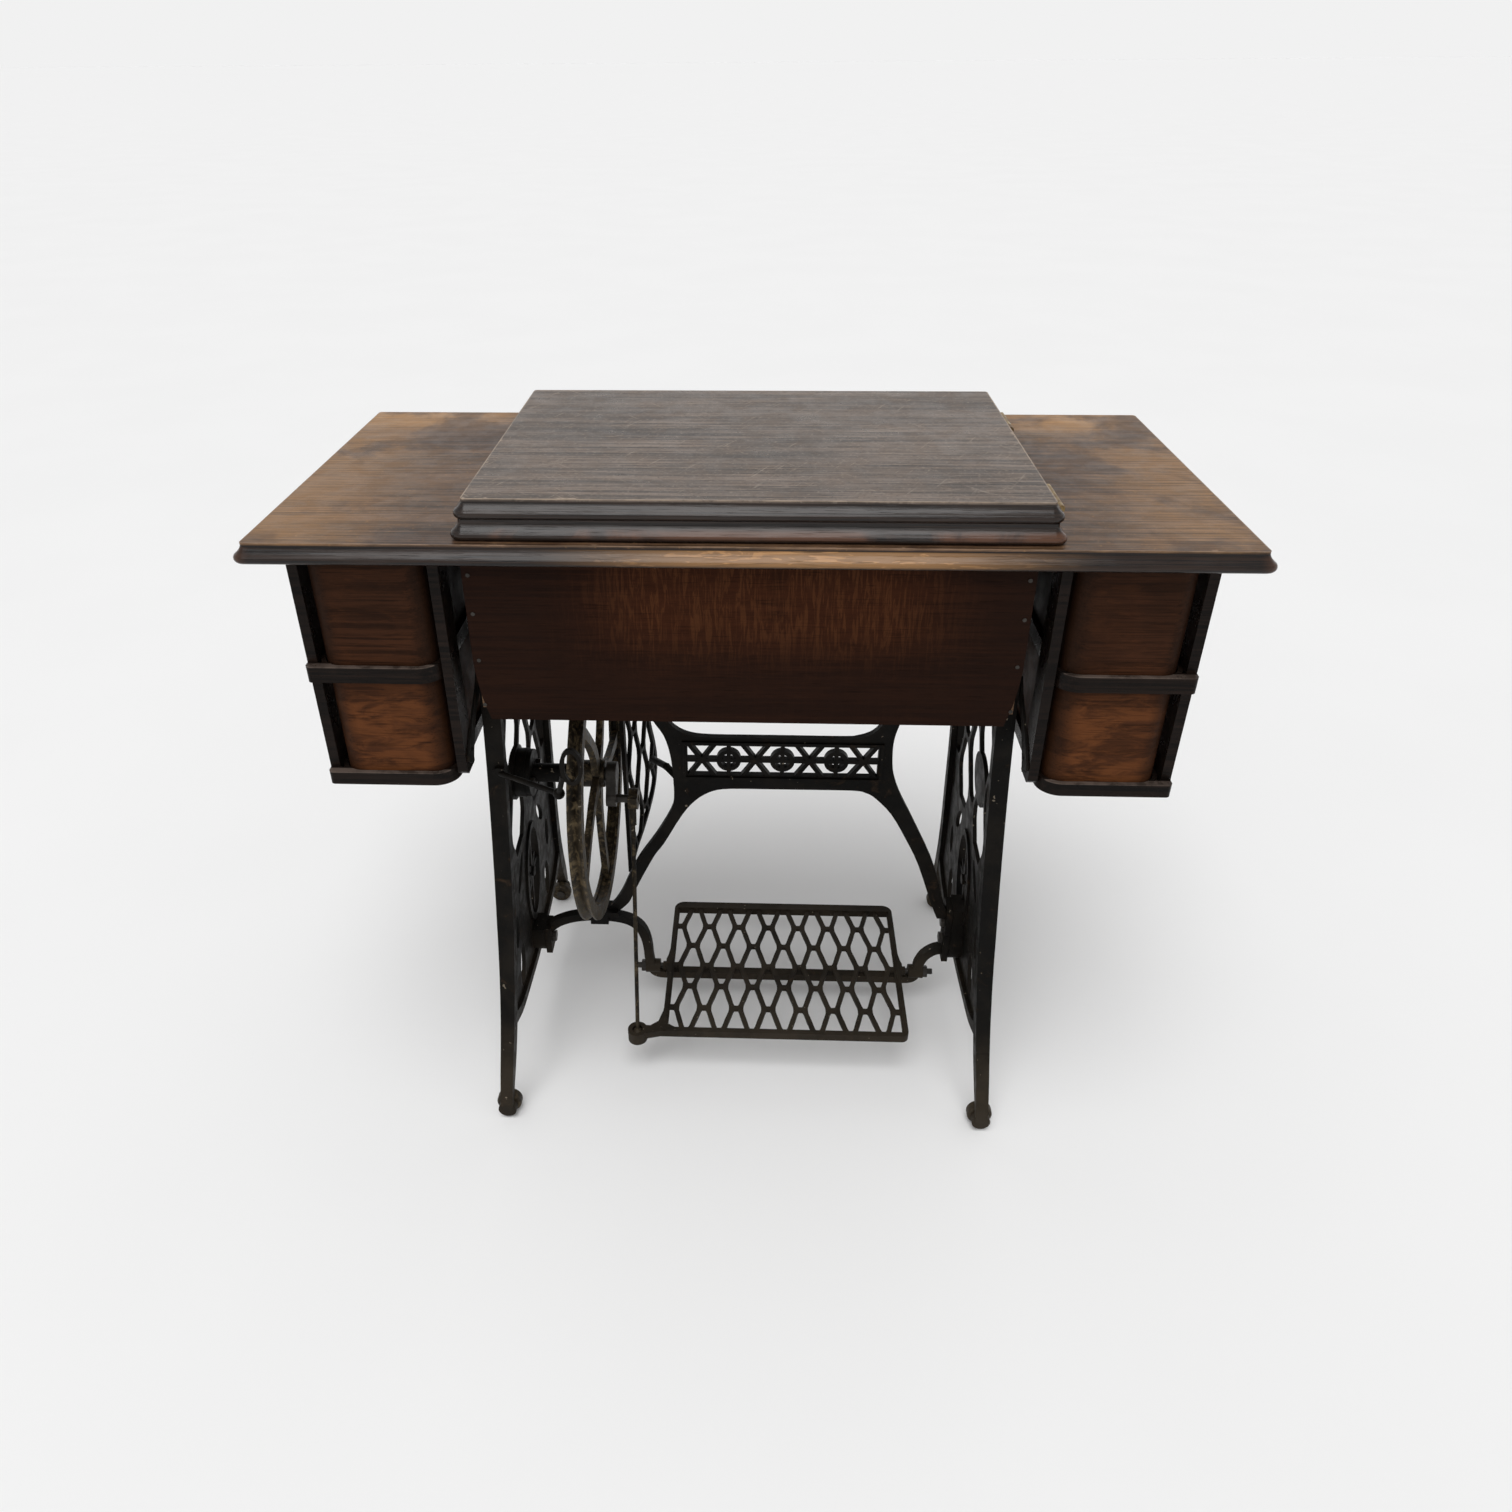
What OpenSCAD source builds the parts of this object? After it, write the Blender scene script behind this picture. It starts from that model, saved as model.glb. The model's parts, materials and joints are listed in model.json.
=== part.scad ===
// Treadle sewing table with a folding leaf top and iron stand.
// Millimetres. +Z is up, +X is the operator's right, the operator sits at -Y.
// The origin is on the floor at the middle of the table.

/* [Table] */
// Width of the table top
top_w = 950; // [900:1:1000]
// Depth of the table top
top_d = 450; // [430:1:470]
// Thickness of the table top
top_t = 19; // [16:0.5:22]
// Height of the table top surface above the floor
table_h = 775; // [760:1:790]
// Distance from the edge of the flat top to the tip of the moulding
edge_e = 8.3; // [6:0.1:10]
// Height of the small square step of the moulding
edge_step = 2.5; // [1:0.1:4]
// Radius under the moulding
edge_nose = 4.5; // [1:0.5:6]

/* [Raised bed and lid] */
// Thickness of each raised tier
tier_t = 18.5; // [15:0.5:22]
// Width of the lower tier
bed_w = 563; // [540:1:590]
// Depth of the lower tier
bed_d = 403; // [380:1:420]
// Width of the lid
lid_w = 555; // [530:1:580]
// Depth of the lid
lid_d = 395; // [370:1:410]
// Sideways offset of both tiers
tier_x = -8; // [-20:1:20]
// Offset of both tiers towards the back
tier_y = 8.8; // [0:0.1:15]
// Width of the machine opening in the lower tier
opening_w = 430; // [400:1:450]
// Depth of the machine opening in the lower tier
opening_d = 300; // [280:1:310]
// Ledge left by the table top inside the machine opening
ledge = 10; // [6:1:15]
// Gap between the lid and the lower tier
lid_gap = 0.3; // [0.2:0.1:1]

/* [Box under the table] */
// Half width of the front and rear aprons at the top
apron_hw = 267; // [260:1:275]
// Thickness of the aprons
apron_t = 12; // [10:1:15]
// Face of the rear apron, measured from the middle
apron_y = 205; // [200:1:210]
// Lower edge of the rear apron
apron_z = 583; // [570:1:600]
// Lower edge of the front apron
front_z = 652; // [630:1:670]
// Outer face of the box sides
box_x = 254.5; // [250:0.5:255]
// Thickness of the box sides
box_t = 11; // [9:0.5:13]

/* [Drawer stacks] */
// Outer face of the outer posts
post_x = 431.7; // [425:0.1:440]
// Thickness of the posts
post_t = 10; // [8:0.5:12]
// Depth of the posts
post_d = 30; // [24:1:36]
// Rear face of the rear posts
post_y = 206; // [200:1:210]
// Lower end of the posts
post_z = 514; // [505:1:525]
// Width between the posts of one stack
bay_w = 123.2; // [115:0.1:130]
// Rear face of the bentwood rails
rail_y = 216; // [212:1:220]
// Underside of the middle rail
rail_z2 = 628.5; // [620:0.5:640]
// Underside of the bottom rail
rail_z1 = 508; // [500:0.5:515]
// Height of the middle rail
rail_h2 = 17.5; // [14:0.5:20]
// Height of the bottom rail
rail_h1 = 15; // [12:0.5:18]
// Thickness of a rail
rail_t = 12; // [10:0.5:15]
// Thickness of the lip that stands up round a rail
lip_t = 4.6; // [3:0.1:6]
// Height of the lip above the ledge the drawer runs on
lip_h = 6; // [4:0.5:8]
// Outer radius of the bent corners of a rail
rail_r = 24; // [18:1:30]
// Thickness of a drawer wall
wall = 7; // [5:0.5:9]
// Thickness of a drawer bottom
drawer_floor = 4; // [3:0.5:6]
// Front face of the drawer fronts, measured forward of the middle
front_y = 203; // [198:1:206]

/* [Iron stand] */
// Middle of a side frame at the top
frame_x = 268.5; // [262:0.5:270]
// Outward lean of a side frame in degrees
frame_lean = 2.23; // [0:0.01:4]
// Width of the rims of a side frame
rim_w = 20; // [16:1:24]
// Thickness of the open web of a side frame
web_t = 5; // [4:0.5:8]
// Width of the bars in the open ironwork of the side frames
bar_b = 8; // [6:0.5:10]
// Radius of the castor wheels
castor_r = 15.5; // [12:0.5:18]
// Depth of the plane that holds the brace and the treadle bar
mid_y = 10; // [0:1:20]
// Thickness of the brace
brace_t = 9; // [6:0.5:12]
// Middle of the brace panel
brace_x = -43; // [-50:1:-36]

/* [Treadle drive] */
// Middle of the treadle
treadle_x = -53; // [-60:1:-45]
// Half width of the treadle
treadle_hw = 160; // [150:1:170]
// Half depth of the treadle
treadle_hd = 127.5; // [120:0.5:135]
// Height of the treadle pivot
pivot_z = 66; // [60:1:75]
// Radius of the belt wheel
wheel_r = 176; // [165:1:178]
// Depth position of the wheel axle
axle_y = 40; // [30:1:50]
// Height of the wheel axle
axle_z = 408; // [395:1:412]
// Inner face of the belt wheel
wheel_x = 173.5; // [172:0.5:178]
// Width of the belt wheel rim
wheel_w = 16; // [14:1:20]
// Radius of the wheel axle
axle_r = 8; // [6:0.5:10]
// Throw of the crank
crank_r = 30; // [26:1:34]
// Radial clearance of the running fits
fit = 0.05; // [0.02:0.01:0.1]

/* [Hidden] */
$fn = 96;
under_z = table_h - top_t;
bed_z = table_h;
lid_z = bed_z + tier_t + lid_gap;
lid_ax = tier_x - lid_w / 2 - 4.5;
lid_az = lid_z + 0.2;
hinge_r = 3.5;
hinge_pin_r = 1.5;
hinge_l = 60;
leaf_t = 1.5;
bay_x = post_x - post_t - bay_w / 2;
drawer_w = bay_w - 2 * lip_t - 1;
drawer_y = rail_y - lip_t - 1;
ledge_z2 = rail_z2 + rail_h2 - lip_h;
ledge_z1 = rail_z1 + rail_h1 - lip_h;
crank_y = axle_y + crank_r * 0.57;
crank_z = axle_z - crank_r * 0.82;
ball_x = 138.5;
ball_y = 135;
ball_z = 66;
rod_len = sqrt((crank_y - ball_y) ^ 2 + (crank_z - ball_z) ^ 2);
rod_lean = atan2(ball_y - crank_y, crank_z - ball_z);
foot_x = frame_x + (under_z - castor_r) * tan(frame_lean);
pad_x = 274;
arm_x = 262;
arm_z = 586;
foot_z = 163;
bolt_z = 129;
wood_dark = [0.24, 0.13, 0.08];
wood_mid = [0.36, 0.2, 0.11];
wood_black = [0.12, 0.08, 0.06];
iron = [0.13, 0.12, 0.11];
steel = [0.42, 0.38, 0.33];
brass = [0.6, 0.46, 0.22];

// ---------- helpers ----------

// One point of a smooth curve between b and c.
function curve_point(a, b, c, d, t) =
    0.5 * (2 * b + (c - a) * t + (2 * a - 5 * b + 4 * c - d) * t * t
    + (3 * b - a - 3 * c + d) * t * t * t);

// A smooth run of points through the given ones, n steps to each span.
function smooth(p, n) = [
    for (i = [0 : len(p) - 2]) for (k = [0 : n - 1])
        curve_point(p[max(i - 1, 0)], p[i], p[i + 1], p[min(i + 2, len(p) - 1)], k / n),
    p[len(p) - 1]];

// Unit normal of a path of [x, y, width] points at index i.
function path_normal(p, i) =
    let (a = p[max(i - 1, 0)], b = p[min(i + 1, len(p) - 1)],
        d = [b[0] - a[0], b[1] - a[1]], l = norm(d)) [-d[1] / l, d[0] / l];

// Flat ribbon that follows a path of [x, y, width] points.
module ribbon(p) {
    n = len(p);
    polygon(concat(
        [for (i = [0 : n - 1]) [p[i][0], p[i][1]] + path_normal(p, i) * p[i][2] / 2],
        [for (i = [n - 1 : -1 : 0]) [p[i][0], p[i][1]] - path_normal(p, i) * p[i][2] / 2]));
}

// Oval made of points.
module oval(rx, ry, n = 40) {
    polygon([for (i = [0 : n - 1]) [rx * cos(360 * i / n), ry * sin(360 * i / n)]]);
}

// One opening of the wavy ironwork: p is the column spacing, h the wave length, b the bar width.
// Its straight sides slope towards rounded ends.
module wave_hole(p, h, b) {
    m = (p - b) / 2;
    k = p * 0.2;
    side = smooth([[m * 0.3, -h / 2 + b / 2], [m - k * 0.8, -h * 0.41], [m, -h / 4],
        [m + k * 0.9, -h * 0.09], [m + k, 0], [m + k * 0.9, h * 0.09], [m, h / 4],
        [m - k * 0.8, h * 0.41], [m * 0.3, h / 2 - b / 2]], 2);
    polygon(concat(side, [for (i = [len(side) - 1 : -1 : 0]) [-side[i][0], side[i][1]]]));
}

// Puts a flat shape in the YZ plane, thickness t along X, centred on X = 0.
module in_yz(t) {
    rotate([90, 0, 90])
        linear_extrude(t, center = true)
            children();
}

// Puts a flat shape in the XZ plane, thickness t along Y, centred on Y = 0.
module in_xz(t) {
    rotate([90, 0, 0])
        linear_extrude(t, center = true)
            children();
}

// Round bar between two points.
module round_bar(a, b, r) {
    d = b - a;
    l = norm(d);
    translate(a)
        rotate([0, acos(d[2] / l), atan2(d[1], d[0])])
            cylinder(h = l, r = r);
}

// Moulded edge seen from the side, from x = 0 out to the tip at x = run:
// a small step, a hollow that sweeps out to the tip, and a rounded nose low down.
module edge_profile(run, t) {
    sweep_z = edge_nose * 1.8;
    rise = t - edge_step - sweep_z;
    square([run - edge_e, t]);
    polygon(concat(
        [[0, 0], [run - edge_nose, 0]],
        [for (a = [-75 : 15 : 45]) [run - edge_nose * (1 - cos(a)), edge_nose * (1 + sin(a))]],
        [for (u = [0 : 0.125 : 1]) [run - edge_e + (edge_e - edge_nose * 0.4) * pow(1 - u, 1.7), sweep_z + rise * u]],
        [[0, sweep_z + rise]]));
}

module both_edges(run, t) {
    edge_profile(run, t);
    mirror([1, 0])
        edge_profile(run, t);
}

// Board with the moulding on all four edges and rounded corners.
module moulded_board(w, d, t) {
    r = 12;
    rotate([90, 0, 0])
        linear_extrude(d - 2 * r, center = true)
            both_edges(w / 2, t);
    rotate([90, 0, 90])
        linear_extrude(w - 2 * r, center = true)
            both_edges(d / 2, t);
    for (sx = [-1, 1], sy = [-1, 1])
        translate([sx * (w / 2 - r), sy * (d / 2 - r), 0])
            rotate_extrude()
                edge_profile(r, t);
}

module box(x0, x1, y0, y1, z0, z1) {
    translate([x0, y0, z0])
        cube([x1 - x0, y1 - y0, z1 - z0]);
}

// ---------- top ----------

module screw_places() {
    for (sx = [-1, 1], y = [-118, -42, 42, 118])
        translate([sx * 280.5, y, 0])
            children();
}

module table_top() {
    color(wood_mid)
    difference() {
        translate([0, 0, under_z])
            moulded_board(top_w, top_d, top_t);
        box(tier_x - opening_w / 2 + ledge, tier_x + opening_w / 2 - ledge,
            tier_y - opening_d / 2 + ledge, tier_y + opening_d / 2 - ledge,
            under_z - 1, table_h + 1);
        screw_places()
            translate([0, 0, under_z - 1])
                cylinder(h = 13, r = 2.2);
    }
}

module leaf_places() {
    for (s = [-1, 1])
        translate([lid_ax, tier_y + s * 125, 0])
            children();
}

module bed_frame() {
    color(wood_dark)
    difference() {
        translate([tier_x, tier_y, bed_z])
            moulded_board(bed_w, bed_d, tier_t);
        box(tier_x - opening_w / 2, tier_x + opening_w / 2,
            tier_y - opening_d / 2, tier_y + opening_d / 2, bed_z - 1, lid_z);
        leaf_places()
            box(5.4, 30.1, -hinge_l / 2 - 0.1, hinge_l / 2 + 0.1,
                bed_z + tier_t - leaf_t, bed_z + tier_t + 1);
    }
}

module lid() {
    color(wood_dark)
    difference() {
        translate([tier_x, tier_y, lid_z])
            moulded_board(lid_w, lid_d, tier_t);
        leaf_places()
            box(4.2, 30.1, -hinge_l / 2 - 0.1, hinge_l / 2 + 0.1, lid_z - 1, lid_z + leaf_t);
    }
}

// Knuckles of a lid hinge between the given places along the barrel.
module knuckles(list) {
    difference() {
        for (k = list)
            translate([0, k[0], lid_az])
                rotate([-90, 0, 0])
                    cylinder(h = k[1] - k[0], r = hinge_r);
        translate([0, -hinge_l, lid_az])
            rotate([-90, 0, 0])
                cylinder(h = 2 * hinge_l, r = hinge_pin_r + fit);
    }
}

lower_knuckles = [[-30, -18.2], [-6, 6], [18.2, 30]];
upper_knuckles = [[-17.8, -6.4], [6.4, 17.8]];

module lid_hinge_lower_leaves() {
    color(brass)
    leaf_places() {
        knuckles(lower_knuckles);
        difference() {
            box(hinge_r, 30, -hinge_l / 2, hinge_l / 2, bed_z + tier_t - leaf_t, bed_z + tier_t);
            box(hinge_r - 1, 5.4, -18.2, -6, bed_z, lid_z + 5);
            box(hinge_r - 1, 5.4, 6, 18.2, bed_z, lid_z + 5);
        }
        for (k = lower_knuckles)
            box(2.4, 6, k[0], k[1], bed_z + tier_t - leaf_t, bed_z + tier_t);
    }
}

module lid_hinge_upper_leaves() {
    color(brass)
    leaf_places() {
        knuckles(upper_knuckles);
        difference() {
            box(4.4, 30, -hinge_l / 2, hinge_l / 2, lid_z, lid_z + leaf_t);
            box(4, 6, -31, -17.8, lid_z - 1, lid_z + 3);
            box(4, 6, 17.8, 31, lid_z - 1, lid_z + 3);
            box(4, 6, -6.4, 6.4, lid_z - 1, lid_z + 3);
        }
        for (k = upper_knuckles)
            box(2.4, 6, k[0], k[1], lid_z, lid_z + leaf_t);
    }
}

module lid_hinge_pins() {
    color(brass)
    leaf_places()
        translate([0, -hinge_l / 2 - 0.5, lid_az])
            rotate([-90, 0, 0])
                cylinder(h = hinge_l + 1, r = hinge_pin_r);
}

// ---------- box under the table ----------

// Outline of the rear apron: straight, then curving in to its lower edge.
apron_edge = smooth([[apron_hw, 646], [apron_hw - 1.6, 628], [apron_hw - 5, 606],
    [apron_hw - 11, apron_z]], 4);

module rear_apron() {
    color(wood_mid)
    difference() {
        translate([0, apron_y - apron_t / 2, 0])
            in_xz(apron_t)
                polygon(concat(
                    [[-apron_hw, under_z], [apron_hw, under_z]],
                    apron_edge,
                    [for (i = [len(apron_edge) - 1 : -1 : 0]) [-apron_edge[i][0], apron_edge[i][1]]]));
        nail_places()
            rotate([90, 0, 0])
                cylinder(h = 30, r = 1.1, center = true);
    }
}

module front_apron() {
    color(wood_mid)
    box(-apron_hw, apron_hw, -apron_y, -apron_y + apron_t, front_z, under_z);
}

floor_rear = 597;
floor_front = 648;
box_rear = apron_y - apron_t;

module box_side() {
    in_yz(box_t)
        polygon([[-box_rear, floor_front], [box_rear, floor_rear], [box_rear, under_z],
            [-box_rear, under_z]]);
}

module dust_box_left_side() {
    color(wood_dark)
    translate([-box_x + box_t / 2, 0, 0])
        box_side();
}

module dust_box_right_side() {
    color(wood_dark)
    translate([box_x - box_t / 2, 0, 0])
        box_side();
}

module dust_box_floor() {
    color(wood_dark)
    difference() {
        in_yz(2 * (box_x - box_t))
            polygon([[-box_rear, floor_front], [box_rear, floor_rear], [box_rear, floor_rear + 8],
                [-box_rear, floor_front + 8]]);
        box(wheel_x - 6, wheel_x + wheel_w + 6, -100, 140, 500, 700);
    }
}

module apron_cleats() {
    color(wood_dark)
    for (s = [-1, 1])
        translate([s * 261, 0, 0])
            difference() {
                box(-5.5, 5.5, 155, box_rear, 590, under_z);
                for (z = [600, 650, 700, 740])
                    translate([0, box_rear, z])
                        rotate([90, 0, 0])
                            cylinder(h = 24, r = 1.1, center = true);
            }
}

module nail_places() {
    for (s = [-1, 1], z = [600, 650, 700, 740])
        translate([s * 261, apron_y, z])
            children();
}

module apron_nails() {
    color(iron)
    nail_places() {
        rotate([90, 0, 0])
            cylinder(h = 22, r = 1.05);
        rotate([-90, 0, 0])
            cylinder(h = 0.6, r = 2);
    }
}

// ---------- drawer stacks ----------

// Posts of one stack, front and rear, on the side given by x.
module posts(x) {
    for (s = [-1, 1])
        translate([x, s * (post_y - post_d / 2), 0])
            difference() {
                box(-post_t / 2, post_t / 2, -post_d / 2, post_d / 2, post_z, under_z);
                translate([0, s * post_d / 2, post_z])
                    rotate([45, 0, 0])
                        cube([post_t + 2, 7, 7], center = true);
            }
}

module left_outer_posts() {
    color(wood_black)
    posts(-post_x + post_t / 2);
}

module left_inner_posts() {
    color(wood_black)
    posts(-post_x + post_t * 1.5 + bay_w);
}

module right_outer_posts() {
    color(wood_black)
    posts(post_x - post_t / 2);
}

module right_inner_posts() {
    color(wood_black)
    posts(post_x - post_t * 1.5 - bay_w);
}

// Plan of a bent piece: square at the front end y0, rounded corners at the back y1.
module bent_plan(w, y0, y1, r) {
    translate([-w / 2, y0])
        square([w, y1 - r - y0]);
    translate([-w / 2 + r, y0])
        square([w - 2 * r, y1 - y0]);
    for (s = [-1, 1])
        translate([s * (w / 2 - r), y1 - r])
            circle(r);
}

rail_front = -188;

// Bent rail with a lip. Its outer end, towards +X, runs on behind the outer post.
module rail(z, h) {
    end_r = (rail_y - post_y) / 2;
    difference() {
        translate([0, 0, z])
            linear_extrude(h) {
                bent_plan(bay_w, rail_front, rail_y, rail_r);
                translate([0, post_y])
                    square([bay_w / 2 + post_t - end_r, rail_y - post_y]);
                translate([bay_w / 2 + post_t - end_r, post_y])
                    square([end_r, rail_y - post_y - end_r]);
                translate([bay_w / 2 + post_t - end_r, rail_y - end_r])
                    circle(end_r);
            }
        translate([0, 0, z - 1])
            linear_extrude(h + 2)
                bent_plan(bay_w - 2 * rail_t, rail_front - 1, rail_y - rail_t, rail_r - rail_t);
        translate([0, 0, z + h - lip_h])
            linear_extrude(h)
                bent_plan(bay_w - 2 * lip_t, rail_front - 1, rail_y - lip_t, rail_r - lip_t);
    }
}

module left_middle_rail() {
    color(wood_black)
    translate([-bay_x, 0, 0])
        mirror([1, 0, 0])
            rail(rail_z2, rail_h2);
}

module left_bottom_rail() {
    color(wood_black)
    translate([-bay_x, 0, 0])
        mirror([1, 0, 0])
            rail(rail_z1, rail_h1);
}

module right_middle_rail() {
    color(wood_black)
    translate([bay_x, 0, 0])
        rail(rail_z2, rail_h2);
}

module right_bottom_rail() {
    color(wood_black)
    translate([bay_x, 0, 0])
        rail(rail_z1, rail_h1);
}

drawer_r = 21;
drawer_front_y = -front_y + 14;
floor_up = 5;

// Bent sides and back of a drawer of height h standing on z.
module drawer_walls(x, z, h) {
    color(wood_mid)
    translate([x, 0, z])
        difference() {
            linear_extrude(h)
                bent_plan(drawer_w, drawer_front_y, drawer_y, drawer_r);
            translate([0, 0, -1])
                linear_extrude(h + 2)
                    bent_plan(drawer_w - 2 * wall, drawer_front_y - 1, drawer_y - wall,
                        drawer_r - wall);
        }
}

module drawer_floor_board(x, z) {
    color(wood_mid)
    translate([x, 0, z + floor_up])
        linear_extrude(drawer_floor)
            bent_plan(drawer_w - 2 * wall, drawer_front_y, drawer_y - wall, drawer_r - wall);
}

// Front board with a raised field, reaching from z0 to z1.
module drawer_front_board(x, z0, z1) {
    w = bay_w - 3;
    color(wood_mid)
    translate([x, -front_y, 0])
        difference() {
            union() {
                box(-w / 2, w / 2, 2, 14, z0, z1);
                box(-w / 2 + 13, w / 2 - 13, 0, 4, z0 + 13, z1 - 13);
            }
            translate([0, -1, (z0 + z1) / 2])
                rotate([-90, 0, 0])
                    cylinder(h = 20, r = 3.6);
        }
}

module drawer_knob(x, z) {
    color(wood_black)
    translate([x, -front_y, z])
        rotate([90, 0, 0])
            rotate_extrude()
                union() {
                    translate([0, -14])
                        square([3.5, 15]);
                    square([6, 7]);
                    translate([0, 6])
                        square([9, 6]);
                    translate([9, 9])
                        circle(3);
                    translate([0, 11])
                        square([9, 1]);
                    translate([0, 12])
                        square([6, 1.5]);
                }
}

upper_h = under_z - 3 - ledge_z2;
lower_h = rail_z2 - 2 - ledge_z1;
upper_z = ledge_z2 + 0.35;
lower_z = ledge_z1 + 0.35;
upper_front = [rail_z2 + 2.5, under_z - 2];
lower_front = [rail_z1 + 2, rail_z2 + 0.5];

module left_upper_drawer_box() {
    drawer_walls(-bay_x, upper_z, upper_h);
}

module left_upper_drawer_floor() {
    drawer_floor_board(-bay_x, upper_z);
}

module left_upper_drawer_front() {
    drawer_front_board(-bay_x, upper_front[0], upper_front[1]);
}

module left_upper_drawer_knob() {
    drawer_knob(-bay_x, (upper_front[0] + upper_front[1]) / 2);
}

module left_lower_drawer_box() {
    drawer_walls(-bay_x, lower_z, lower_h);
}

module left_lower_drawer_floor() {
    drawer_floor_board(-bay_x, lower_z);
}

module left_lower_drawer_front() {
    drawer_front_board(-bay_x, lower_front[0], lower_front[1]);
}

module left_lower_drawer_knob() {
    drawer_knob(-bay_x, (lower_front[0] + lower_front[1]) / 2);
}

module right_upper_drawer_box() {
    drawer_walls(bay_x, upper_z, upper_h);
}

module right_upper_drawer_floor() {
    drawer_floor_board(bay_x, upper_z);
}

module right_upper_drawer_front() {
    drawer_front_board(bay_x, upper_front[0], upper_front[1]);
}

module right_upper_drawer_knob() {
    drawer_knob(bay_x, (upper_front[0] + upper_front[1]) / 2);
}

module right_lower_drawer_box() {
    drawer_walls(bay_x, lower_z, lower_h);
}

module right_lower_drawer_floor() {
    drawer_floor_board(bay_x, lower_z);
}

module right_lower_drawer_front() {
    drawer_front_board(bay_x, lower_front[0], lower_front[1]);
}

module right_lower_drawer_knob() {
    drawer_knob(bay_x, (lower_front[0] + lower_front[1]) / 2);
}

// Iron straps from the stand to the feet of the inner posts.
module post_brackets() {
    color(iron)
    for (sx = [-1, 1], sy = [-1, 1])
        mirror([sx < 0 ? 1 : 0, 0, 0])
            mirror([0, sy < 0 ? 1 : 0, 0])
                translate([287.2, 0, 0])
                    in_yz(2.4)
                        difference() {
                            ribbon(smooth([[122, 590, 22], [138, 578, 14], [158, 566, 12],
                                [180, 545, 16], [196, 524, 20]], 3));
                            translate([128, 586])
                                circle(3.2);
                            translate([188, 536])
                                circle(2.6);
                        }
}

// ---------- iron stand ----------

leg_line = smooth([[146, 750, 12], [136, 690, 12], [130, 610, 12], [127.5, 520, 12], [130, 430, 13],
    [139, 320, 14], [152, 220, 16], [168, 148, 19], [184, 100, 21], [199, 68, 19], [211, 44, 14],
    [218, 29, 9], [218.5, 14, 9]], 4);
arch_line = smooth([[-190, 104, 12], [-172, 120, 17], [-148, 110, 15], [-120, 100, 14], [-60, 93, 13],
    [0, 89, 13], [60, 93, 13], [120, 100, 14], [148, 110, 15], [172, 120, 17], [190, 104, 12]], 3);

// Area between the legs that holds the open ironwork.
module web_area() {
    polygon([[-143, 752], [-133, 690], [-127, 610], [-124.5, 520], [-127, 430], [-136, 320],
        [-149, 220], [-163, 152], [-170, 120], [-148, 110], [-120, 100], [-60, 93], [0, 89],
        [60, 93], [120, 100], [148, 110], [170, 120], [163, 152], [149, 220], [136, 320],
        [127, 430], [124.5, 520], [127, 610], [133, 690], [143, 752]]);
}

// The same area less a margin, where lattice holes may be cut.
module hole_area() {
    polygon([[-132, 738], [-124, 690], [-119, 610], [-116.5, 520], [-119, 430], [-128, 310],
        [-100, 302], [0, 314], [100, 302], [128, 310], [119, 430], [116.5, 520], [119, 610],
        [124, 690], [132, 738]]);
}

cell_p = 57;
cell_h = 122;
med_z = 222;

// Lattice holes: columns one spacing apart, every other column half a wave higher.
module frame_holes() {
    for (j = [-2 : 2], k = [0 : 3])
        translate([cell_p * j, (j % 2 == 0 ? 408 : 347) + k * cell_h])
            wave_hole(cell_p, cell_h, bar_b);
}

// Long oval openings beside the medallion and over the lower band.
module side_slots() {
    for (s = [-1, 1]) {
        translate([s * 90, 138])
            rotate(s * 8)
                oval(14, 32, 28);
        translate([s * 106, 208])
            rotate(s * 6)
                oval(10, 24, 24);
        translate([s * 122, 306])
            rotate(s * 6)
                oval(5, 22, 20);
        translate([s * 66, 272])
            rotate(s * 38)
                oval(9, 27, 24);
    }
}

// Plain flower used inside the oval of each side frame.
module flower() {
    circle(9);
    for (a = [0 : 45 : 315])
        rotate(a)
            translate([0, 17])
                oval(4.2, 10, 16);
}

module frame_web() {
    difference() {
        web_area();
        intersection() {
            hole_area();
            difference() {
                frame_holes();
                translate([mid_y, arm_z])
                    square([44, 46], center = true);
                translate([axle_y, axle_z])
                    circle(34);
            }
        }
        side_slots();
        translate([0, med_z])
            difference() {
                oval(33, 69);
                flower();
                square([5, 142], center = true);
                square([70, 5], center = true);
            }
    }
}

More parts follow.
